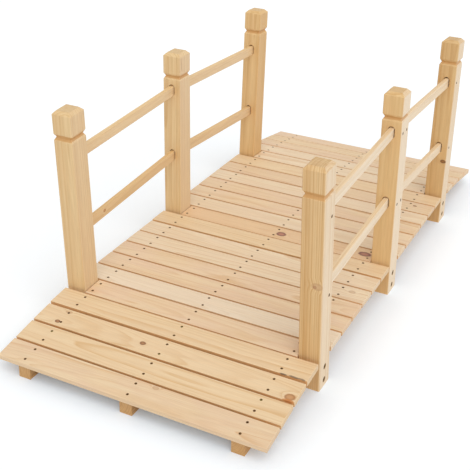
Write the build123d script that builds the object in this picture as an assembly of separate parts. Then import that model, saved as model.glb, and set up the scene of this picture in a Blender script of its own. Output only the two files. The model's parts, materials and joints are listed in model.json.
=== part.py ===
from build123d import *
import math
import os

# Small arched garden footbridge, in millimetres.
# +X runs along the walkway, +Y is the left-hand side, +Z is up, and the floor is Z = 0.
# Plank 1 is at the near end (-X). The origin is below the middle of the deck.

# Deck
deck_width = 660.0
plank_count = 23
plank_width = 60.0
plank_gap = 5.5
plank_thickness = 12.0
plank_arris = 1.0
short_plank_clearance = 1.5      # between a short plank's end and the post beside it
thick_planks = {4: 2.0, 11: 1.5}  # plank number: how much thicker it was sawn than the rest

# Stringers: straight underneath, crowned on top
stringer_thickness = 30.0
stringer_depth = 72.0            # at the middle, where it is deepest
stringer_setback = 5.0           # its end lies this far under the first plank
crown_run = 400.0                # along the top edge, from the middle to the shoulder
crown_slope = 0.4                # degrees, at the end of the crown
shoulder_run = 230.0             # the tighter bend from the crown to the ramp
ramp_slope = 9.2                 # degrees

# Posts
bay_planks = 7                   # planks from one post to the next
post_width = 51.0                # across the bridge
post_depth = 55.0                # along the bridge
post_length = 544.0
post_arris = 1.5
end_post_lean = 3.0              # degrees, outwards at the top
cap_chamfer = 8.0
head_height = 47.5               # the square block between the cap's chamfer and the neck
neck_height = 16.5
neck_depth = 4.75

# Rails, let into the posts. Heights are along a post, from the floor to the rail's middle.
rail_thickness = 12.0
rail_depth = 27.0
rail_arris = 1.5
rail_heights = {                 # at the end posts, at the middle posts
    "upper": (422.0, 443.0),
    "lower": (228.0, 257.0),
}
mortise_depth = 24.0             # routed slots with round ends
mortise_side_gap = 2.75
mortise_top_gap = 4.0
mortise_end_gap = 2.0
rail_seat_gap = 0.1              # under the rail's arrises, which rest on a slot's round bottom

# Bolts that hold each post to its stringer
bolt_heights = (17.0, 51.0)
bolt_hole_radius = 4.5
bolt_recess_radius = 7.0
bolt_recess_depth = 8.0

# Worked out from the sizes above
plank_pitch = plank_width + plank_gap
deck_run = plank_count * plank_pitch - plank_gap
bay_run = bay_planks * plank_pitch
post_face = deck_width / 2 - post_width
post_offset = deck_width / 2 - post_width / 2
stringer_offset = post_face - stringer_thickness / 2
tenon_length = mortise_depth - mortise_end_gap
sides = {"left": 1, "right": -1}
stations = {"near": -1, "middle": 0, "far": 1}
bays = {"near": ("near", "middle"), "far": ("middle", "far")}   # the two posts of each bay


def half_deck_line():
    """Top edge of a stringer from the middle to its end, in the XZ plane."""
    crown = JernArc(
        (0, stringer_depth), (1, 0), crown_run / math.radians(crown_slope), -crown_slope
    )
    bend = ramp_slope - crown_slope
    shoulder = JernArc(crown @ 1, crown % 1, shoulder_run / math.radians(bend), -bend)
    ramp_run = deck_run / 2 - stringer_setback - crown_run - shoulder_run
    ramp = Line(shoulder @ 1, (shoulder @ 1) + (shoulder % 1) * ramp_run)
    return Wire([crown.edge(), shoulder.edge(), ramp.edge()])


deck_line = half_deck_line()


def deck_point(run):
    """X, Z and slope in degrees of the stringers' top, a signed run from the middle."""
    distance = abs(run)
    spot = deck_line.position_at(distance, PositionMode.LENGTH)
    ahead = deck_line.tangent_at(distance, PositionMode.LENGTH)
    slope = math.degrees(math.atan2(ahead.Y, ahead.X))
    return math.copysign(spot.X, run), spot.Y, math.copysign(slope, -run) if run else 0.0


def is_between_posts(index):
    """Whether the plank, counted from 0, lies between two posts and so is a short one."""
    from_middle = index - (plank_count - 1) // 2
    return from_middle in (-bay_planks, 0, bay_planks)


def plank(index):
    """One deck plank, lying flat on the stringers at its own slope."""
    length = deck_width
    if is_between_posts(index):
        length = 2 * (post_face - short_plank_clearance)
    thickness = plank_thickness + thick_planks.get(index + 1, 0)
    board = Box(plank_width, length, thickness, align=(Align.CENTER, Align.CENTER, Align.MIN))
    board = chamfer(board.faces().sort_by(Axis.Z)[-1].edges(), plank_arris)
    x, z, slope = deck_point((index - (plank_count - 1) / 2) * plank_pitch)
    return Location((x, 0, z), (0, -slope, 0)) * board


def post_lean(station):
    """Angle of a post from upright in degrees, positive where its top leans towards +X."""
    return stations[station] * end_post_lean


def post_foot(station):
    """X of a post's axis at the floor, so that it crosses the deck in its plank's place."""
    x, z, _ = deck_point(stations[station] * bay_run)
    deck_top = z + plank_thickness
    return x - deck_top * math.tan(math.radians(post_lean(station)))


def post_frame(station, side):
    """Frame on the floor at a post's foot, with its Z along the post."""
    return Location((post_foot(station), sides[side] * post_offset, 0), (0, post_lean(station), 0))


def post_point(station, side, height):
    """Point on a post's axis, at a height along the post."""
    return (post_frame(station, side) * Pos(0, 0, height)).position


def post_section(height, inset=0.0):
    """The post's outline at a height, drawn in from its full size, with eased corners."""
    outline = Rectangle(post_depth - 2 * inset, post_width - 2 * inset)
    return Pos(0, 0, height) * chamfer(outline.vertices(), post_arris)


def post_blank():
    """An upright post, longer than needed at the foot, with its turned-in neck and cap."""
    foot_allowance = post_depth
    cap_base = post_length - cap_chamfer
    head_base = cap_base - head_height
    neck_middle = head_base - neck_height / 2
    shoulder = head_base - neck_height
    shaft = extrude(post_section(-foot_allowance), shoulder + foot_allowance)
    neck = loft([post_section(shoulder), post_section(neck_middle, neck_depth)], ruled=True)
    neck += loft([post_section(neck_middle, neck_depth), post_section(head_base)], ruled=True)
    head = extrude(post_section(head_base), head_height)
    cap = loft([post_section(cap_base), post_section(post_length, cap_chamfer)], ruled=True)
    return shaft + neck + head + cap


def rail_frame(level, bay, side):
    """Frame on its first post's axis with X along the rail, and the run to its second post."""
    at_end, at_middle = rail_heights[level]
    start, finish = (
        post_point(station, side, at_middle if station == "middle" else at_end)
        for station in bays[bay]
    )
    line = finish - start
    angle = math.degrees(math.atan2(line.Z, line.X))
    return Location(start, (0, -angle, 0)), line.length


def rail(level, bay, side):
    """A plain rail that reaches into the mortises of both its posts."""
    frame, length = rail_frame(level, bay, side)
    inset = post_depth / 2 - tenon_length
    bar = Box(
        length - 2 * inset, rail_thickness, rail_depth,
        align=(Align.MIN, Align.CENTER, Align.CENTER),
    )
    bar = chamfer(bar.edges().filter_by(Axis.X), rail_arris)
    return frame * Pos(inset, 0, 0) * bar


def mortises(station, side):
    """The slots that a post needs for the rails that end in it."""
    width = rail_thickness + 2 * mortise_side_gap
    radius = width / 2
    flat = rail_thickness / 2 - rail_arris
    drop = radius - math.sqrt(radius**2 - flat**2) + rail_seat_gap
    height = drop + rail_depth + mortise_top_gap
    lift = (mortise_top_gap - drop) / 2
    reach = post_depth
    slot = extrude(Plane.YZ * SlotOverall(height, width, rotation=90), reach / 2, both=True)
    middle = post_depth / 2 - mortise_depth + reach / 2
    cuts = []
    for level in rail_heights:
        for bay, (first, second) in bays.items():
            frame, length = rail_frame(level, bay, side)
            if station == first:
                cuts.append(frame * Pos(middle, 0, lift) * slot)
            if station == second:
                cuts.append(frame * Pos(length - middle, 0, lift) * slot)
    return cuts


def bolt_holes(station, side):
    """Bolt holes through a post and its stringer, with a recess for each head."""
    across = sides[side]
    lean = math.tan(math.radians(post_lean(station)))
    x = post_foot(station) + sum(bolt_heights) / len(bolt_heights) * lean
    outer = across * deck_width / 2
    run = post_width + 2 * stringer_thickness
    cuts = []
    for height in bolt_heights:
        shank = Rot(90, 0, 0) * Cylinder(bolt_hole_radius, run)
        recess = Rot(90, 0, 0) * Cylinder(bolt_recess_radius, 2 * bolt_recess_depth)
        cuts.append(Pos(x, outer - across * run / 2, height) * shank)
        cuts.append(Pos(x, outer, height) * recess)
    return cuts


def post(station, side):
    """A post in place, its foot cut level with the floor."""
    leaning = post_frame(station, side) * post_blank()
    standing = split(leaning, Plane.XY, keep=Keep.TOP)
    return standing - mortises(station, side) - bolt_holes(station, side)


def stringer(side=None):
    """A stringer on edge. The outer ones are drilled for the posts' bolts."""
    top = deck_line.edges() + [edge.mirror(Plane.YZ) for edge in deck_line.edges()]
    end = deck_line @ 1
    outline = top + [
        Edge.make_line((end.X, end.Y), (end.X, 0)),
        Edge.make_line((end.X, 0), (-end.X, 0)),
        Edge.make_line((-end.X, 0), (-end.X, end.Y)),
    ]
    face = Plane.XZ * make_face(outline)
    board = extrude(face, stringer_thickness / 2, both=True)
    if side is None:
        return board
    board = Pos(0, sides[side] * stringer_offset, 0) * board
    for station in stations:
        board -= bolt_holes(station, side)
    return board


def model():
    """Every piece of the bridge, by the name of its node."""
    pieces = {}
    for index in range(plank_count):
        pieces[f"plank_{index + 1:02d}"] = plank(index)
    pieces["stringer_middle"] = stringer()
    for side in sides:
        pieces[f"stringer_{side}"] = stringer(side)
        for station in stations:
            pieces[f"post_{station}_{side}"] = post(station, side)
        for level in rail_heights:
            for bay in bays:
                pieces[f"{level}_rail_{bay}_{side}"] = rail(level, bay, side)
    return pieces


os.makedirs("parts", exist_ok=True)
for name, piece in model().items():
    export_step(piece, f"parts/{name}.step")
    print(name, round(piece.volume / 1000), "cm3")
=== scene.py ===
import json
import math
import random

import bmesh
import bpy
import numpy as np
from mathutils import Euler, Matrix, Vector


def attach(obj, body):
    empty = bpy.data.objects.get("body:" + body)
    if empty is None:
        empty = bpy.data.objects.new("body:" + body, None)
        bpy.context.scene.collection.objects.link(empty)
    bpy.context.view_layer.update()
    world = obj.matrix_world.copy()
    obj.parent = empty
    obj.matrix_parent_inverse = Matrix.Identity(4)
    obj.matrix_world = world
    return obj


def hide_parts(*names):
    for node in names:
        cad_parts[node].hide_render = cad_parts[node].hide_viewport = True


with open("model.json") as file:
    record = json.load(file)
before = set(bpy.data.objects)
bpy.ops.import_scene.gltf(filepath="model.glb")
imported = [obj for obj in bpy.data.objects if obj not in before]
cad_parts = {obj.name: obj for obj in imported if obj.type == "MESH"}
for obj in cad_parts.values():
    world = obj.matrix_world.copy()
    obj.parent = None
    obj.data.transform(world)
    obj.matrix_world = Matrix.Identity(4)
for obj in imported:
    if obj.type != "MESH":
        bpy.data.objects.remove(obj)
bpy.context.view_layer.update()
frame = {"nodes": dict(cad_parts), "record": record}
nodes = frame["nodes"]
scene = bpy.context.scene
print("frame loaded:", len(nodes), "pieces of timber")

mm = 0.001


def linear(hexColour):
    shades = [int(hexColour[i:i + 2], 16) / 255 for i in (1, 3, 5)]
    curve = [s / 12.92 if s <= 0.04045 else ((s + 0.055) / 1.055) ** 2.4 for s in shades]
    return (*curve, 1.0)


# adds one node; inputs holds numbers, colours or the output socket to link, stops fills a colour ramp
def addNode(tree, kind, inputs=None, stops=None, **settings):
    node = tree.nodes.new(kind)
    for key, value in settings.items():
        setattr(node, key, value)
    for key, value in (inputs or {}).items():
        if isinstance(value, bpy.types.NodeSocket):
            tree.links.new(value, node.inputs[key])
        else:
            node.inputs[key].default_value = value
    if stops:
        ramp = node.color_ramp.elements
        while len(ramp) < len(stops):
            ramp.new(1.0)
        for element, (place, grey) in zip(ramp, stops):
            element.position = place
            element.color = (grey, grey, grey, 1.0)
    return node


def mixed(tree, share, first, second, **settings):
    return addNode(tree, "ShaderNodeMix", {0: share, 6: first, 7: second},
                   data_type="RGBA", **settings).outputs[2]


# carries a value from one span to another
def remapped(tree, value, span=(0.0, 1.0), result=(0.0, 1.0), **settings):
    return addNode(tree, "ShaderNodeMapRange",
                   {"Value": value, "From Min": span[0], "From Max": span[1],
                    "To Min": result[0], "To Max": result[1]}, **settings).outputs[0]


def maths(tree, operation, *values):
    return addNode(tree, "ShaderNodeMath", dict(enumerate(values)), operation=operation).outputs[0]


def vectorMaths(tree, operation, *values, output="Vector"):
    return addNode(tree, "ShaderNodeVectorMath", dict(enumerate(values)), operation=operation).outputs[output]


def newMaterial(name):
    material = bpy.data.materials.new(name)
    material.use_nodes = True
    material.node_tree.nodes.clear()
    return material


cameraSettings = {
    "place": (-2.1545, -0.9599, 1.3359),
    "heading": 26.79,  # degrees from +X towards +Y
    "dip": 22.76,  # degrees below level
    "roll": 0.88,
    "lens": 75.75,
    "filmWidth": 36,
    "rise": -0.2,
}


def makeCamera(settings):
    camera = bpy.data.objects.new("camera", bpy.data.cameras.new("camera"))
    scene.collection.objects.link(camera)
    aim = Matrix.Rotation(math.radians(settings["heading"] - 90), 3, "Z")
    aim = aim @ Matrix.Rotation(math.radians(90 - settings["dip"]), 3, "X")
    aim = aim @ Matrix.Rotation(math.radians(settings["roll"]), 3, "Z")
    camera.location = settings["place"]
    camera.rotation_euler = aim.to_euler()
    camera.data.lens = settings["lens"]
    camera.data.sensor_width = settings["filmWidth"]
    camera.data.shift_y = settings["rise"]
    scene.camera = camera


makeCamera(cameraSettings)

studio = {
    "skyLevel": 0.66,
    "lampLevel": 1.29,  # a big soft lamp, high, in front and to the right
    "lampSpread": 60,  # degrees
    "lampFrom": (-0.42, -0.44, 0.79),
    "floorColour": "#F6F6F6",
    "floorSeen": "#F7FAFC",  # cooler to the eye, which cancels the warm light off the timber
    "floorPaintedShadow": "#D2E1F0",
    "paintedShadowReach": 0.12,
    "floorLift": (0.12, 0.128, 0.135, 1),  # only what the camera and the reflections see
    "floorReach": 40,
}


# white for the camera and for reflections, plain level for the light itself
def seenDirectly(tree):
    path = addNode(tree, "ShaderNodeLightPath").outputs
    seen = maths(tree, "MAXIMUM", path["Is Camera Ray"], path["Is Glossy Ray"])
    return maths(tree, "MAXIMUM", seen, path["Is Transmission Ray"])


def makeStudio(settings):
    world = bpy.data.worlds.new("studio")
    world.use_nodes = True
    scene.world = world
    tree = world.node_tree
    tree.nodes.clear()
    level = remapped(tree, seenDirectly(tree), result=(settings["skyLevel"], 1.0))
    sky = addNode(tree, "ShaderNodeBackground", {"Color": (1, 1, 1, 1), "Strength": level})
    addNode(tree, "ShaderNodeOutputWorld", {"Surface": sky.outputs[0]})

    lamp = bpy.data.objects.new("softLamp", bpy.data.lights.new("softLamp", "SUN"))
    scene.collection.objects.link(lamp)
    lamp.data.energy = settings["lampLevel"]
    lamp.data.angle = math.radians(settings["lampSpread"])
    lamp.rotation_euler = Vector(settings["lampFrom"]).to_track_quat("Z", "Y").to_euler()

    mesh = bpy.data.meshes.new("studio_floor")
    reach = settings["floorReach"]
    mesh.from_pydata([(-reach, -reach, 0), (reach, -reach, 0), (reach, reach, 0), (-reach, reach, 0)],
                     [], [(0, 1, 2, 3)])
    floor = bpy.data.objects.new("studio_floor", mesh)
    scene.collection.objects.link(floor)
    # studio floor in dead matt white paint; where the timber covers it, a painted shadow darkens what the
    # camera sees
    paint = newMaterial("matt_white_floor_paint")
    tree = paint.node_tree
    seen = seenDirectly(tree)
    # painted shadow: ambient occlusion mixes the seen floor towards a darker blue-grey near the timber
    openness = addNode(tree, "ShaderNodeAmbientOcclusion", {"Distance": settings["paintedShadowReach"]}).outputs["AO"]
    shaded = mixed(tree, openness, linear(settings["floorPaintedShadow"]), linear(settings["floorSeen"]))
    colour = mixed(tree, seen, linear(settings["floorColour"]), shaded)
    coat = addNode(tree, "ShaderNodeBsdfPrincipled",
                   {"Base Color": colour, "Roughness": 1.0,
                    "Specular IOR Level": 0.0, "Emission Color": settings["floorLift"],
                    "Emission Strength": seen})
    addNode(tree, "ShaderNodeOutputMaterial", {"Surface": coat.outputs[0]})
    mesh.materials.append(paint)


makeStudio(studio)
scene.view_settings.view_transform = "Standard"
print("camera, lamp and floor ready")


leastFacet = 1e-12  # square metres; a thinner facet has no sure direction


# centre, size and the turn whose columns are across, grain and face, read from the board's own faces
def boardOf(node):
    mesh = nodes[node].data
    mesh.calc_loop_triangles()
    points = np.empty(len(mesh.vertices) * 3)
    mesh.vertices.foreach_get("co", points)
    points = points.reshape(-1, 3)
    corners = np.empty(len(mesh.loop_triangles) * 3, int)
    mesh.loop_triangles.foreach_get("vertices", corners)
    a, b, c = points[corners.reshape(-1, 3)].transpose(1, 0, 2)
    normals = np.cross(b - a, c - a) / 2
    areas = np.linalg.norm(normals, axis=1)
    keep = areas > leastFacet
    normals = normals[keep] / np.sqrt(areas[keep])[:, None]
    spread = normals.T @ normals
    axes = np.linalg.eigh(spread)[1].T
    grain, across = [axis * np.sign(axis[np.argmax(abs(axis))]) for axis in axes[:2]]
    face = np.cross(across, grain)
    turn = np.array([across, grain, face])
    inBoard = points @ turn.T
    low, high = inBoard.min(0), inBoard.max(0)
    return {"centre": Vector(turn.T @ ((low + high) / 2)), "size": Vector(high - low),
            "turn": Matrix(turn.T.tolist())}


boards = {name: boardOf(name) for name in sorted(nodes)}


# a point given in mm across, along and out from the board's centre
def onBoard(board, across, along, out):
    return board["centre"] + board["turn"] @ (Vector((across, along, out)) * mm)


# planed fir, bare: pale early wood, tan late wood, silky but matt; each board is cut from its own
# place in the log, so its rings show as arches on flat faces and as stripes on edge-sawn ones
firTones = {
    "cream": {"early": "#EDD2AD", "late": "#D8AC78", "blush": "#E6C4A6"},
    "straw": {"early": "#EDD2AA", "late": "#D7AC75", "blush": "#E7C8A0"},
    "fawn": {"early": "#EAC89E", "late": "#D4A46D", "blush": "#E4BF95"},
    "fair": {"early": "#EFD9B8", "late": "#DBB486", "blush": "#EACFAF"},
    "golden": {"early": "#ECCE9C", "late": "#D4A564", "blush": "#E5C290"},
    "rosy": {"early": "#EBD1AC", "late": "#D6AA78", "blush": "#E3C2A2"},
    "pale": {"early": "#F0DDC2", "late": "#E2C49C", "blush": "#EBD3B6"},
    "wheat": {"early": "#E8CA98", "late": "#CC9F62", "blush": "#E0BB89"},
    "ripe": {"early": "#E6C38C", "late": "#CA9957", "blush": "#DEB47D"},
    "honey": {"early": "#E5C491", "late": "#C49253", "blush": "#DCB47E"},
    "tawny": {"early": "#DEBB85", "late": "#BD8A4A", "blush": "#D5AA72"},
    "amber": {"early": "#D8AD73", "late": "#B37B3D", "blush": "#CD9C60"},
}

firCut = {
    "plank": {"ringWidth": 2.7, "lateShare": 0.74, "pithAcross": (0, 34), "pithBelow": (45, 120),
              "lean": 1.3, "wander": 9, "bands": 0.22, "blush": 0.55},
    "post": {"ringWidth": 4.6, "lateShare": 0.62, "pithAcross": (55, 95), "pithBelow": (4, 20),
             "lean": 0.7, "wander": 7, "bands": 0.35, "blush": 0.4},
    "post_near_right": {"ringWidth": 4.8, "lateShare": 0.85, "pithAcross": (0, 8), "pithBelow": (48, 90),
                        "lean": 0.5, "wander": 5, "bands": 0.5, "blush": 0.35},
    "rail": {"ringWidth": 3.4, "lateShare": 0.50, "pithAcross": (0, 20), "pithBelow": (30, 80),
             "lean": 0.8, "wander": 5, "bands": 0.3, "blush": 0.45},
    "stringer": {"ringWidth": 4.0, "lateShare": 0.75, "pithAcross": (0, 12), "pithBelow": (30, 60),
                 "lean": 0.5, "wander": 6, "bands": 0.3, "blush": 0.4},
}

# heart, rim and how firmly each shows; swirl is how far the rings bend round it, in rings
markKinds = {
    "knot": {"heart": "#A8764A", "rim": "#7E4D2A", "show": 0.95, "swirl": 0.7},
    "rosyKnot": {"heart": "#B2775F", "rim": "#7C4937", "show": 0.96, "swirl": 1.2},
    "paleKnot": {"heart": "#C48D5A", "rim": "#A66C3A", "show": 0.85, "swirl": 1.0},
    "faintKnot": {"heart": "#C9A27A", "rim": "#B98D63", "show": 0.55, "swirl": 0.6},
    "darkKnot": {"heart": "#94632F", "rim": "#70441C", "show": 0.95, "swirl": 0.8},
    "resin": {"heart": "#BF722C", "rim": "#CB8540", "show": 0.85, "swirl": 0.0},
    "bark": {"heart": "#6A5847", "rim": "#957C60", "show": 0.8, "swirl": 0.2},
    "spikeKnot": {"heart": "#A96F40", "rim": "#9C6338", "show": 0.9, "swirl": 0.6},
    "rustKnot": {"heart": "#C08A58", "rim": "#B17A4A", "show": 0.85, "swirl": 0.4},
    "check": {"heart": "#8A6238", "rim": "#B08854", "show": 0.85, "swirl": 0.0},
}

# kind, (across, along, out) and the three half sizes in mm, from the board's centre
marks = {
    "plank_03": [("paleKnot", (-19, -315, 6), (9.5, 12, 9)), ("resin", (-29.5, -316, 5.5), (4.5, 13, 5)),
                 ("knot", (-16.5, 272, 6), (5, 7, 9)), ("knot", (-1, 51, 6), (5.5, 7.5, 8)),
                 ("faintKnot", (21, 266, 6), (5, 9, 5))],
    "plank_04": [("bark", (-29.2, -296, 6.5), (1.8, 12, 3)), ("bark", (-30, -276, 6.5), (1.3, 9, 3)),
                 ("bark", (-29.2, -318, 6.5), (2.2, 8, 3))],
    "plank_05": [("bark", (29.5, 6, 6.5), (1.5, 6, 3))],
    "plank_12": [("rosyKnot", (-4, -17, 6), (11, 13.5, 12)),
                 ("rosyKnot", (0, -252, 6), (11, 17.5, 12))],
    "plank_09": [("faintKnot", (7, -290, 6), (6, 9, 8))],
    "plank_17": [("knot", (7, -280, 6), (4, 6, 8))],
    "plank_01": [("faintKnot", (23, -47, 6), (5, 8, 6))],
    "post_near_right": [("spikeKnot", (-27.5, -3, 8), (5, 4, 4.5)),
                        ("faintKnot", (-27.5, -1, 13), (5, 9, 13))],
    "post_far_right": [("darkKnot", (-27.5, -82, 17), (6, 5.5, 8))],
    "post_middle_left": [("check", (-18.6, 243, 25.5), (0.7, 20, 5))],
    "lower_rail_near_left": [("rustKnot", (3.5, -131, -6), (4, 5, 6))],
}

toneOf = {
    "plank_06": ["pale"], "plank_09": ["fair"], "plank_10": ["fair"], "plank_12": ["fawn"],
    "plank_13": ["fair"], "plank_14": ["cream"], "plank_16": ["fair"], "plank_19": ["fair"],
    "plank_20": ["fair"],
    "plank": ["cream", "rosy", "straw", "straw", "straw", "cream", "straw", "cream"],
    "post_near_left": ["wheat"], "post_middle_left": ["wheat"], "post_far_left": ["ripe"],
    "post_near_right": ["honey"], "post_middle_right": ["ripe"], "post_far_right": ["tawny"],
    "lower_rail_near_left": ["ripe"], "lower_rail_far_left": ["ripe"],
    "upper_rail_near_left": ["golden"], "upper_rail_far_left": ["golden"],
    "upper": ["straw"],
    "lower": ["straw"],
    "stringer": ["amber"],
}
# painted sheen: how far the faces turned to the right-hand side are painted paler, a stand-in for the sheen
# they catch, by side and then board by board
paintedSheen = {"tone": "pale", "right": 0.8, "left": 0.35, "post_middle_left": 0.45, "post_far_left": 0.0,
            "post_middle_right": 1.0, "lower_rail_near_left": 0.25, "lower_rail_near_right": 1.0,
            "upper_rail_near_right": 1.0, "upper_rail_far_right": 0.6}


# the planks' long edges are tinted darker and warmer, except the first and last planks'
plankEdgeTints = {"tint": "#F8E2C4", "plank_01": "#FFFFFF", "plank_23": "#FFFFFF"}
# inside a post's outline its turned-in neck, up to so far from the top in mm, is tinted darker and more
# orange, partly the cut wood's own colour and partly painted shade in the groove, and its slots and other
# hollows are painted paler, painted light against their shade; the outline is where a face lies this share of
# the way out from the middle
insideTintsAndShading = {"neck": "#CC9859", "neckSpan": 75, "slot": "#FAD49C", "share": 0.8, "outline": (0.90, 0.93)}
paintedBoreShade = "#6A4A2D"  # walls of the screw holes, painted dark: painted shade deep in the holes

logSeed = 23
# what all the boards share; a noise's size is (mm across the grain, times longer along it)
figure = {
    "noiseStart": 40,  # each board starts up to this many noise widths off
    "noiseRoughness": 0.55,
    "wanderSize": (45, 9),
    "raggedSize": (5, 3),
    "bandSize": (11, 40),
    "blushSize": (38, 3.5),
    "fibreSize": (1.1, 45),  # real fibres are finer: drawn as coarse as they can show
    "bandSpan": (0.42, 0.72),
    "blushSpan": (0.40, 0.66),
    "fibreSpan": (0.3, 0.7),
    "fibreShade": (0.92, 1.06),
    "endShade": 0.93,  # sawn ends soak up light between the fibres
    "squareOn": (0.8, 0.98),  # cosines between which a face counts as square to an axis
    # cosines towards the right-hand side over which the painted sheen rises
    "sheenFacing": (0.5, 0.95),
}
# the growth rings: early wood rises slowly to late wood and drops at once
growth = {
    "widthSpread": (0.85, 1.2),
    "leanAcross": 0.4,
    "logStretch": 1000,  # along the log the rings hardly change
    "unevenScale": 0.37,
    "unevenReach": 2.2,
    "vigour": (0.45, 1.25),  # from the faintest late wood to the firmest
    "stops": [(0.0, 0.12), (0.45, 0.18), (0.80, 0.78), (0.92, 1.0), (1.0, 0.12)],
}
# a mark's outline is roughened, its rim darkens and the rings bend round it; 1 is its drawn edge
markEdges = {"rough": 0.35, "barkRough": 2.4, "bend": (0.5, 2.6), "rim": (0.35, 0.85),
             "cover": (0.82, 1.15)}
# silky but matt, smoother on late wood, which also stands a little proud; depth in mm
woodSheen = {"roughness": (0.56, 0.44), "lateRelief": 0.5, "bumpStrength": 0.5, "bumpDepth": 0.12}
softly = {"interpolation_type": "SMOOTHSTEP"}


# a place as measured from a point in the axes of a turn
def measuredFrom(tree, place, point, turn, scale=(1, 1, 1)):
    return addNode(tree, "ShaderNodeMapping",
                   {"Vector": place, "Location": point, "Rotation": turn.to_euler(), "Scale": scale},
                   vector_type="TEXTURE").outputs[0]


# how far a face is square to an axis, whichever way it looks
def squareTo(tree, facing, axis, result=(0.0, 1.0)):
    along = vectorMaths(tree, "DOT_PRODUCT", facing, axis, output="Value")
    return remapped(tree, maths(tree, "ABSOLUTE", along), figure["squareOn"], result)


# how far each spot is from a mark's middle, 1 at its rim, with a rough outline
def distanceFrom(tree, place, board, mark, ragged):
    kind, middle, sizes = mark
    spot = measuredFrom(tree, place, onBoard(board, *middle), board["turn"], [s * mm for s in sizes])
    far = vectorMaths(tree, "LENGTH", spot, output="Value")
    rough = markEdges["barkRough"] if kind == "bark" else markEdges["rough"]
    far = maths(tree, "MULTIPLY_ADD", ragged, rough, far)
    return maths(tree, "SUBTRACT", far, rough / 2)


# the tints inside a post's outline, over its old faces: cut-wood colour and painted shade in the neck,
# painted light in the slots and hollows
def tintInsideAndShade(tree, colour, inBoard, board):
    halves = [2 / length for length in board["size"]]
    within = vectorMaths(tree, "ABSOLUTE", vectorMaths(tree, "MULTIPLY", inBoard, halves))
    within = addNode(tree, "ShaderNodeSeparateXYZ", {"Vector": within}).outputs
    outermost = maths(tree, "MAXIMUM", within["X"], within["Y"])
    outermost = maths(tree, "MAXIMUM", outermost, within["Z"])
    insideShare = remapped(tree, outermost, insideTintsAndShading["outline"], (insideTintsAndShading["share"], 0.0))
    along = addNode(tree, "ShaderNodeSeparateXYZ", {"Vector": inBoard}).outputs["Y"]
    isNeck = maths(tree, "GREATER_THAN", along, board["size"].y / 2 - insideTintsAndShading["neckSpan"] * mm)
    insideColour = mixed(tree, isNeck, linear(insideTintsAndShading["slot"]), linear(insideTintsAndShading["neck"]))
    return mixed(tree, insideShare, colour, insideColour)


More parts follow.
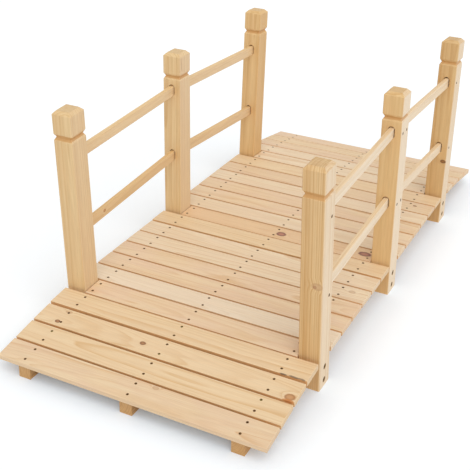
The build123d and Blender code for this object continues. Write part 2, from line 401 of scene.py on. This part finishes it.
def firMaterial(node, board, cut, tone, sheenShare, boardMarks, dice):
    material = newMaterial("planed_fir_" + node)
    tree = material.node_tree
    turn = board["turn"]
    pithAcross, pithBelow = [dice.uniform(*cut[key]) * dice.choice((-1, 1))
                             for key in ("pithAcross", "pithBelow")]
    pith = onBoard(board, pithAcross, 0, pithBelow)
    lean = [math.radians(dice.uniform(-1, 1) * cut["lean"]) for _ in range(2)]
    shift = [dice.uniform(-figure["noiseStart"], figure["noiseStart"]) for _ in range(3)]
    ringWidth = cut["ringWidth"] * dice.uniform(*growth["widthSpread"]) * mm

    surface = addNode(tree, "ShaderNodeTexCoord").outputs
    place, facing = surface["Object"], surface["Normal"]
    inBoard = measuredFrom(tree, place, board["centre"], turn)
    # the log's own axis: a slight lean to the board makes the arches
    logTurn = turn @ Euler((lean[0], 0, lean[1] * growth["leanAcross"])).to_matrix()
    inLog = measuredFrom(tree, place, pith, logTurn, (1, growth["logStretch"], 1))

    # noise stretched with the grain
    def longNoise(size, detail=2.0, output=0):
        across, stretch = size
        scaled = addNode(tree, "ShaderNodeMapping",
                         {"Vector": inBoard, "Location": shift,
                          "Scale": (1 / across / mm, 1 / across / stretch / mm, 1 / across / mm)},
                         vector_type="POINT").outputs[0]
        return addNode(tree, "ShaderNodeTexNoise",
                       {"Vector": scaled, "Scale": 1.0, "Detail": detail,
                        "Roughness": figure["noiseRoughness"]}).outputs[output]

    reach = cut["wander"] * mm
    wander = longNoise(figure["wanderSize"], output=1)
    wandered = vectorMaths(tree, "MULTIPLY_ADD", wander, (reach, 0, reach), inLog)
    radius = vectorMaths(tree, "LENGTH", wandered, output="Value")
    count = maths(tree, "MULTIPLY", radius, 1 / ringWidth)
    uneven = addNode(tree, "ShaderNodeTexNoise",
                     {"W": count, "Scale": growth["unevenScale"], "Detail": 1.0},
                     noise_dimensions="1D").outputs[0]
    count = maths(tree, "MULTIPLY_ADD", uneven, growth["unevenReach"], count)

    ragged = longNoise(figure["raggedSize"])
    spots = []
    for mark in boardMarks:
        look = markKinds[mark[0]]
        far = distanceFrom(tree, place, board, mark, ragged)
        spots.append((look, far))
        if look["swirl"]:
            bend = remapped(tree, far, markEdges["bend"], (look["swirl"], 0.0), **softly)
            count = maths(tree, "ADD", count, bend)

    late = addNode(tree, "ShaderNodeValToRGB", {"Fac": maths(tree, "FRACT", count)},
                   growth["stops"]).outputs[0]
    vigour = addNode(tree, "ShaderNodeTexWhiteNoise", {"W": maths(tree, "FLOOR", count)},
                     noise_dimensions="1D").outputs[0]
    vigour = remapped(tree, vigour, result=[share * cut["lateShare"] for share in growth["vigour"]])
    late = maths(tree, "MULTIPLY", late, vigour)

    colour = mixed(tree, late, linear(tone["early"]), linear(tone["late"]))
    band = remapped(tree, longNoise(figure["bandSize"]), figure["bandSpan"], (0.0, cut["bands"]))
    colour = mixed(tree, band, colour, linear(tone["late"]))
    blush = remapped(tree, longNoise(figure["blushSize"]), figure["blushSpan"], (0.0, cut["blush"]))
    colour = mixed(tree, blush, colour, linear(tone["blush"]))

    # painted sheen: faces turned to the right-hand side are mixed towards pale wood, standing in for the
    # sheen they catch
    if sheenShare:
        pale = firTones[paintedSheen["tone"]]
        outer = vectorMaths(tree, "DOT_PRODUCT", facing, (0, -1, 0), output="Value")
        outer = remapped(tree, outer, figure["sheenFacing"], (0.0, sheenShare))
        sheenPaleWood = mixed(tree, late, linear(pale["early"]), linear(pale["late"]))
        colour = mixed(tree, outer, colour, sheenPaleWood)

    fibre = longNoise(figure["fibreSize"], detail=3.0)
    shade = remapped(tree, fibre, figure["fibreSpan"], figure["fibreShade"])
    endOn = squareTo(tree, facing, turn.col[1], (1.0, figure["endShade"]))
    shade = maths(tree, "MULTIPLY", shade, endOn)
    colour = addNode(tree, "ShaderNodeVectorMath", {0: colour, "Scale": shade}, operation="SCALE").outputs[0]

    if node.startswith("plank"):
        edgeTint = linear(plankEdgeTints.get(node, plankEdgeTints["tint"]))
        edgeOn = squareTo(tree, facing, turn.col[0])
        colour = mixed(tree, edgeOn, colour, edgeTint, blend_type="MULTIPLY")
    # painted shade and cut-wood colour in the neck, painted light in the slots and hollows
    if node.startswith("post"):
        colour = tintInsideAndShade(tree, colour, inBoard, board)

    for look, far in spots:
        inner = remapped(tree, far, markEdges["rim"], **softly)
        inside = mixed(tree, inner, linear(look["heart"]), linear(look["rim"]))
        cover = remapped(tree, far, markEdges["cover"], (look["show"], 0.0), **softly)
        colour = mixed(tree, cover, colour, inside)

    # painted shade: the walls of the bored holes are painted dark
    bored = addNode(tree, "ShaderNodeAttribute", attribute_name="bored").outputs["Fac"]
    colour = mixed(tree, bored, colour, linear(paintedBoreShade))
    roughness = remapped(tree, late, result=woodSheen["roughness"])
    relief = maths(tree, "MULTIPLY_ADD", late, woodSheen["lateRelief"], fibre)
    bump = addNode(tree, "ShaderNodeBump",
                   {"Strength": woodSheen["bumpStrength"], "Distance": woodSheen["bumpDepth"] * mm,
                    "Height": relief}).outputs[0]
    wood = addNode(tree, "ShaderNodeBsdfPrincipled",
                   {"Base Color": colour, "Roughness": roughness, "IOR": 1.5, "Normal": bump})
    addNode(tree, "ShaderNodeOutputMaterial", {"Surface": wood.outputs[0]})
    return material


timber = {}
dice = random.Random(logSeed)
for node, board in boards.items():
    kind = node.split("_")[0]
    cut = firCut.get(node) or firCut["rail" if kind in ("upper", "lower") else kind]
    choices = toneOf.get(node) or toneOf[kind]
    number = int(node[-2:]) if kind == "plank" else 0
    tone = firTones[choices[number % len(choices)]]
    sheenShare = 0
    # posts and rails take a share of painted sheen on their faces turned to the right-hand side
    if kind not in ("plank", "stringer"):
        sheenShare = paintedSheen.get(node, paintedSheen.get(node.split("_")[-1]))
    timber[node] = firMaterial(node, board, cut, tone, sheenShare, marks.get(node, []), dice)
    nodes[node].data.materials.clear()
    nodes[node].data.materials.append(timber[node])
print("fir finish on", len(timber), "boards")


# dark phosphated steel, a few heads with a yellow passivated sheen; plating runs from dark to yellow
fixingLook = {"dark": "#7A583A", "yellow": "#9A8A48", "roughness": 0.5, "roughnessSpread": 0.12,
              "crustSize": 0.6, "crustDepth": 0.05, "crustStrength": 0.3,  # sizes in mm
              "darkPlating": (0, 0.15), "yellowPlating": 0.8, "boltPlating": 0.25}


def fixingMaterial(look):
    material = newMaterial("phosphated_steel")
    tree = material.node_tree
    plating = addNode(tree, "ShaderNodeAttribute", attribute_name="plating").outputs["Fac"]
    colour = mixed(tree, plating, linear(look["dark"]), linear(look["yellow"]))
    place = addNode(tree, "ShaderNodeTexCoord").outputs["Object"]
    crust = addNode(tree, "ShaderNodeTexNoise",
                    {"Vector": place, "Scale": 1 / (look["crustSize"] * mm), "Detail": 2.0}).outputs[0]
    spread = look["roughnessSpread"]
    roughness = remapped(tree, crust, result=(look["roughness"] - spread, look["roughness"] + spread))
    bump = addNode(tree, "ShaderNodeBump",
                   {"Strength": look["crustStrength"], "Distance": look["crustDepth"] * mm,
                    "Height": crust}).outputs[0]
    finish = addNode(tree, "ShaderNodeBsdfPrincipled",
                     {"Base Color": colour, "Metallic": 1.0, "Roughness": roughness, "Normal": bump})
    addNode(tree, "ShaderNodeOutputMaterial", {"Surface": finish.outputs[0]})
    return material


steel = fixingMaterial(fixingLook)


# a ring of points round the axis
def ring(made, sides, radius, height):
    angles = [2 * math.pi * i / sides for i in range(sides)]
    return [made.verts.new((radius * mm * math.cos(a), radius * mm * math.sin(a), height * mm))
            for a in angles]


def joinRings(made, first, second):
    for i in range(len(first)):
        j = (i + 1) % len(first)
        made.faces.new((first[i], first[j], second[j], second[i]))


# a closed turned solid: (radius, height) pairs from the top ring to the bottom one
def turnedSolid(made, sides, profile, cappedTop=True):
    rings = [ring(made, sides, radius, height) for radius, height in profile]
    for first, second in zip(rings, rings[1:]):
        joinRings(made, first, second)
    made.faces.new(rings[-1])
    if cappedTop:
        made.faces.new(rings[0])
    return rings[0]


# a turned head with a driving recess sunk in its top
def drivenHead(made, sides, profile, outline, recessDepth, taper):
    top = turnedSolid(made, sides, profile, cappedTop=False)
    height = profile[0][1]
    mouth = [made.verts.new((x * mm, y * mm, height * mm)) for x, y in outline]
    floorPoints = [made.verts.new((x * taper * mm, y * taper * mm, (height - recessDepth) * mm))
                   for x, y in outline]
    joinRings(made, mouth, floorPoints)
    made.faces.new(floorPoints)
    rims = []
    for loop in (top, mouth):
        for i in range(len(loop)):
            pair = (loop[i], loop[(i + 1) % len(loop)])
            rims.append(made.edges.get(pair) or made.edges.new(pair))
    bmesh.ops.triangle_fill(made, edges=rims, use_beauty=True, normal=(0, 0, 1))


def shapeObject(name, made):
    bmesh.ops.recalc_face_normals(made, faces=made.faces)
    mesh = bpy.data.meshes.new(name)
    made.to_mesh(mesh)
    made.free()
    if "custom_normal" in mesh.attributes:
        mesh.attributes.remove(mesh.attributes["custom_normal"])
    shape = bpy.data.objects.new(name, mesh)
    scene.collection.objects.link(shape)
    return shape


# countersunk cross-head screws: 3.5 mm in the deck, 4 mm through the posts into the rails; each is
# drawn down to a short neck, since the rest is in the wood
screwCommon = {"sides": 16, "edgeDepth": 0.25, "edgeTaper": 0.98, "neckLength": 2, "recessTaper": 0.55}
screwSizes = {
    "deck": {**screwCommon, "headRadius": 3.0, "headDepth": 2.2, "neckRadius": 1.5,
             "armReach": 1.7, "armHalf": 0.45, "recessDepth": 1.5},
    "rail": {**screwCommon, "headRadius": 3.7, "headDepth": 2.6, "neckRadius": 1.8,
             "armReach": 2.1, "armHalf": 0.5, "recessDepth": 1.8},
}


def screwShape(sizes):
    made = bmesh.new()
    far, near = sizes["armReach"], sizes["armHalf"]
    arm = [(far, -near), (far, near), (near, near)]
    outline = []
    for c, s in [(1, 0), (0, 1), (-1, 0), (0, -1)]:
        outline += [(x * c - y * s, x * s + y * c) for x, y in arm]
    head, neck, depth = sizes["headRadius"], sizes["neckRadius"], sizes["headDepth"]
    profile = [(head, 0), (head * sizes["edgeTaper"], -sizes["edgeDepth"]),
               (neck, -depth), (neck, -depth - sizes["neckLength"])]
    drivenHead(made, sizes["sides"], profile, outline, sizes["recessDepth"], sizes["recessTaper"])
    return shapeObject("screwShape", made)


# M8 cap screw through the post and the stringer, washer and nut on the stringer's inner side
boltSizes = {"headRadius": 6.5, "headHeight": 7.6, "headChamfer": 0.5, "seatGap": 0.02,
             "socketRadius": 3.45, "socketDepth": 4.0, "socketTaper": 0.95,
             "shankRadius": 3.95, "tipChamfer": 0.8, "grip": 73.0, "beyond": 3.0, "sides": 24,
             "washerRadius": 8.0, "washerThick": 1.6, "washerChamfer": 0.2,
             "nutRadius": 7.5, "nutHeight": 6.5,
             "nutTop": (0.3, 0.5), "nutFoot": (0.8, 0.7)}  # chamfers, inwards and along the bolt


def boltShape(sizes):
    made = bmesh.new()
    top, head, chamfer = sizes["headHeight"], sizes["headRadius"], sizes["headChamfer"]
    socket = sizes["socketRadius"]
    hexagon = [(socket * math.cos(math.radians(a)), socket * math.sin(math.radians(a)))
               for a in range(0, 360, 60)]
    underWasher = -sizes["grip"] - sizes["washerThick"]
    underNut = underWasher - sizes["nutHeight"]
    tip = underNut - sizes["beyond"]
    shank, point, seat = sizes["shankRadius"], sizes["tipChamfer"], sizes["seatGap"]
    profile = [(head - chamfer, top), (head, top - chamfer), (head, seat),
               (shank, seat), (shank, tip + point), (shank - point, tip)]
    drivenHead(made, sizes["sides"], profile, hexagon, sizes["socketDepth"], sizes["socketTaper"])
    washer, edge = sizes["washerRadius"], sizes["washerChamfer"]
    turnedSolid(made, sizes["sides"],
                [(washer - edge, -sizes["grip"]), (washer, -sizes["grip"] - edge),
                 (washer, underWasher + edge), (washer - edge, underWasher)])
    nut, nutTop, nutFoot = sizes["nutRadius"], sizes["nutTop"], sizes["nutFoot"]
    turnedSolid(made, 6, [(nut - nutTop[0], underWasher), (nut, underWasher - nutTop[1]),
                          (nut, underNut + nutFoot[1]), (nut - nutFoot[0], underNut)])
    return shapeObject("boltShape", made)


# points that carry a direction, the board that they belong to and their plating
def placesObject(name, places):
    mesh = bpy.data.meshes.new(name)
    mesh.from_pydata([p["at"] for p in places], [], [])
    facts = (("facing", "FLOAT_VECTOR", "vector"), ("board", "INT", "value"),
             ("plating", "FLOAT", "value"))
    for key, kind, field in facts:
        attribute = mesh.attributes.new(key, kind, "POINT")
        for i, place in enumerate(places):
            setattr(attribute.data[i], field, place[key])
    made = bpy.data.objects.new(name, mesh)
    scene.collection.objects.link(made)
    return made


def newGeometryTree(name, sockets):
    tree = bpy.data.node_groups.new(name, "GeometryNodeTree")
    tree.is_modifier = True
    for label, kind in [("Geometry", "NodeSocketGeometry"), *sockets]:
        tree.interface.new_socket(label, in_out="INPUT", socket_type=kind)
    tree.interface.new_socket("Geometry", in_out="OUTPUT", socket_type="NodeSocketGeometry")
    return tree, addNode(tree, "NodeGroupInput").outputs


# rotation that stands a shape's Z along each point's facing
def standUp(tree):
    facing = addNode(tree, "GeometryNodeInputNamedAttribute", {"Name": "facing"},
                     data_type="FLOAT_VECTOR").outputs[0]
    return addNode(tree, "FunctionNodeAlignRotationToVector", {"Vector": facing}, axis="Z").outputs[0]


# sets one shape at each point, turned to its facing and spun at random
def fixingsTree():
    tree, given = newGeometryTree("setFixings", [
        ("Shape", "NodeSocketObject"), ("Spin", "NodeSocketFloat"), ("Seed", "NodeSocketInt"),
        ("Finish", "NodeSocketMaterial")])
    spin = addNode(tree, "FunctionNodeRandomValue", {"Max": given["Spin"], "Seed": given["Seed"]},
                   data_type="FLOAT")
    spin = [socket for socket in spin.outputs if socket.type == "VALUE"][0]
    turn = addNode(tree, "FunctionNodeAxisAngleToRotation", {"Axis": (0, 0, 1), "Angle": spin}).outputs[0]
    turn = addNode(tree, "FunctionNodeRotateRotation",
                   {"Rotation": standUp(tree), "Rotate By": turn}, rotation_space="LOCAL").outputs[0]
    shape = addNode(tree, "GeometryNodeObjectInfo", {"Object": given["Shape"]}).outputs["Geometry"]
    made = addNode(tree, "GeometryNodeInstanceOnPoints",
                   {"Points": given["Geometry"], "Instance": shape, "Rotation": turn}).outputs[0]
    made = addNode(tree, "GeometryNodeRealizeInstances", {"Geometry": made}).outputs[0]
    made = addNode(tree, "GeometryNodeSetMaterial",
                   {"Geometry": made, "Material": given["Finish"]}).outputs[0]
    addNode(tree, "NodeGroupOutput", {"Geometry": made})
    return tree


# bores a flat-bottomed hole into a board at each point that belongs to it
def boringTree():
    tree, given = newGeometryTree("boreHoles", [
        ("Places", "NodeSocketObject"), ("Board", "NodeSocketInt"), ("Radius", "NodeSocketFloat"),
        ("Depth", "NodeSocketFloat"), ("Finish", "NodeSocketMaterial")])
    places = addNode(tree, "GeometryNodeObjectInfo", {"Object": given["Places"]}).outputs["Geometry"]
    board = addNode(tree, "GeometryNodeInputNamedAttribute", {"Name": "board"}, data_type="INT").outputs[0]
    mine = addNode(tree, "FunctionNodeCompare", data_type="INT", operation="EQUAL")
    whole = [socket for socket in mine.inputs if socket.type == "INT"]
    tree.links.new(board, whole[0])
    tree.links.new(given["Board"], whole[1])
    # the bit is centred on the top of the screw's head, so half of it goes below
    length = maths(tree, "MULTIPLY", given["Depth"], 2.0)
    bit = addNode(tree, "GeometryNodeMeshCylinder",
                  {"Vertices": holeSizes["sides"], "Radius": given["Radius"], "Depth": length}).outputs[0]
    bits = addNode(tree, "GeometryNodeInstanceOnPoints",
                   {"Points": places, "Selection": mine.outputs[0], "Instance": bit,
                    "Rotation": standUp(tree)}).outputs[0]
    bits = addNode(tree, "GeometryNodeRealizeInstances", {"Geometry": bits}).outputs[0]
    bits = addNode(tree, "GeometryNodeStoreNamedAttribute",
                   {"Geometry": bits, "Name": "bored", "Value": 1.0},
                   data_type="FLOAT", domain="FACE").outputs[0]
    bored = addNode(tree, "GeometryNodeMeshBoolean", {0: given["Geometry"], 1: bits},
                    operation="DIFFERENCE", solver="EXACT").outputs[0]
    bored = addNode(tree, "GeometryNodeSetMaterial",
                    {"Geometry": bored, "Material": given["Finish"]}).outputs[0]
    addNode(tree, "NodeGroupOutput", {"Geometry": bored})
    return tree


# runs a tree on an object and keeps the result as a plain mesh
def carryOut(source, tree, values, name):
    modifier = source.modifiers.new("make", "NODES")
    modifier.node_group = tree
    for item in tree.interface.items_tree:
        if item.in_out == "INPUT" and item.name in values:
            modifier[item.identifier] = values[item.name]
    source.update_tag()
    graph = bpy.context.evaluated_depsgraph_get()
    mesh = bpy.data.meshes.new_from_object(source.evaluated_get(graph), depsgraph=graph)
    source.modifiers.remove(modifier)
    mesh.name = name
    piece = bpy.data.objects.new(name, mesh)
    scene.collection.objects.link(piece)
    return piece


# in mm; sunk is how far below the wood a head's top lies, and stray how far a screw is off its line
deckScrews = {"halfSpacing": 17.0, "stray": 1.2, "sunk": (0.5, 1.1), "yellowShare": 0.06, "seed": 5}
railScrews = {"middleOffset": 14.0, "endOffset": 12.0, "stray": 1, "sunk": 0.9, "seed": 11,
              "heights": {"upper": (424, 442), "lower": (231, 252)}}  # end posts, middle posts
# depth is below the top of the screw's head, clearance round it
holeSizes = {"clearance": 0.1, "depth": 1.6, "sides": 20}

boardNumber = {name: i for i, name in enumerate(boards)}


def deckPlaces(settings):
    places = []
    dice = random.Random(settings["seed"])
    lines = [boards["stringer_" + side]["centre"].y / mm for side in ("left", "middle", "right")]
    for node, board in boards.items():
        if not node.startswith("plank"):
            continue
        top = board["size"].z / 2 / mm
        for across in (-settings["halfSpacing"], settings["halfSpacing"]):
            for line in lines:
                stray = [dice.uniform(-1, 1) * settings["stray"] for _ in range(2)]
                out = top - dice.uniform(*settings["sunk"])
                yellow = dice.random() < settings["yellowShare"]
                plating = fixingLook["yellowPlating"] if yellow else dice.uniform(*fixingLook["darkPlating"])
                places.append({"at": onBoard(board, across + stray[0], line + stray[1], out),
                               "facing": board["turn"].col[2], "board": boardNumber[node],
                               "plating": plating})
    return places


def railPlaces(settings):
    places = []
    dice = random.Random(settings["seed"])
    for node, board in boards.items():
        if not node.startswith("post"):
            continue
        station, side = node.split("_")[1:]
        outward = -1 if side == "left" else 1
        shifts = {"near": (settings["endOffset"],), "far": (-settings["endOffset"],),
                  "middle": (-settings["middleOffset"], settings["middleOffset"])}[station]
        foot = board["size"].y / 2 / mm
        for ends, middle in settings["heights"].values():
            height = middle if station == "middle" else ends
            for shift in shifts:
                out = outward * (board["size"].z / 2 / mm - settings["sunk"])
                stray = [dice.uniform(-settings["stray"], settings["stray"]) for _ in range(2)]
                places.append({"at": onBoard(board, shift + stray[0], height - foot + stray[1], out),
                               "facing": board["turn"].col[2] * outward, "board": boardNumber[node],
                               "plating": dice.uniform(*fixingLook["darkPlating"])})
    return places


# each post's two bolts go in one straight above the other, also where the post leans
def boltPlaces():
    places = []
    for mount in frame["record"]["mounts"]:
        if mount["kind"] != "bolt_pattern":
            continue
        halfSpacing = mount["dims"]["spacing_y_mm"] / 2
        for rise in (-halfSpacing, halfSpacing):
            at = Vector(mount["pos_m"]) + Vector((0, 0, rise * mm))
            places.append({"at": at, "facing": Vector(mount["axis"]), "board": 0,
                           "plating": fixingLook["boltPlating"]})
    return places


setFixings = fixingsTree()
boreHoles = boringTree()
deckScrew = screwShape(screwSizes["deck"])
railScrew = screwShape(screwSizes["rail"])
bolt = boltShape(boltSizes)
deckMarks = placesObject("deckPlaces", deckPlaces(deckScrews))
railMarks = placesObject("railPlaces", railPlaces(railScrews))
boltMarks = placesObject("boltPlaces", boltPlaces())

fixingValues = {"Spin": 2 * math.pi, "Seed": 3, "Finish": steel}
fixings = [
    carryOut(deckMarks, setFixings, {**fixingValues, "Shape": deckScrew}, "deck_screws"),
    carryOut(railMarks, setFixings, {**fixingValues, "Shape": railScrew}, "rail_screws"),
    carryOut(boltMarks, setFixings, {**fixingValues, "Shape": bolt}, "post_bolts"),
]
for piece in fixings:
    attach(piece, "root")
print("screws and bolts set")


weldGap = 0.001  # mm
sharpAngle = 28  # degrees


# a merged copy of a CAD board with its screw holes bored
def boredBoard(node, marksObject, sizes):
    made = bmesh.new()
    made.from_mesh(nodes[node].data)
    bmesh.ops.remove_doubles(made, verts=made.verts, dist=weldGap * mm)
    blank = shapeObject("blank", made)
    piece = carryOut(blank, boreHoles, {"Places": marksObject, "Board": boardNumber[node],
                                        "Radius": (sizes["headRadius"] + holeSizes["clearance"]) * mm,
                                        "Depth": holeSizes["depth"] * mm,
                                        "Finish": timber[node]}, "bored_" + node)
    bpy.data.objects.remove(blank)
    piece.data.shade_smooth()
    piece.data.set_sharp_from_angle(angle=math.radians(sharpAngle))
    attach(piece, "root")
    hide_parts(node)


for node in boards:
    if node.startswith("plank"):
        boredBoard(node, deckMarks, screwSizes["deck"])
    elif node.startswith("post"):
        boredBoard(node, railMarks, screwSizes["rail"])
for spare in (deckScrew, railScrew, bolt, deckMarks, railMarks, boltMarks):
    bpy.data.objects.remove(spare)
print("planks and posts bored")
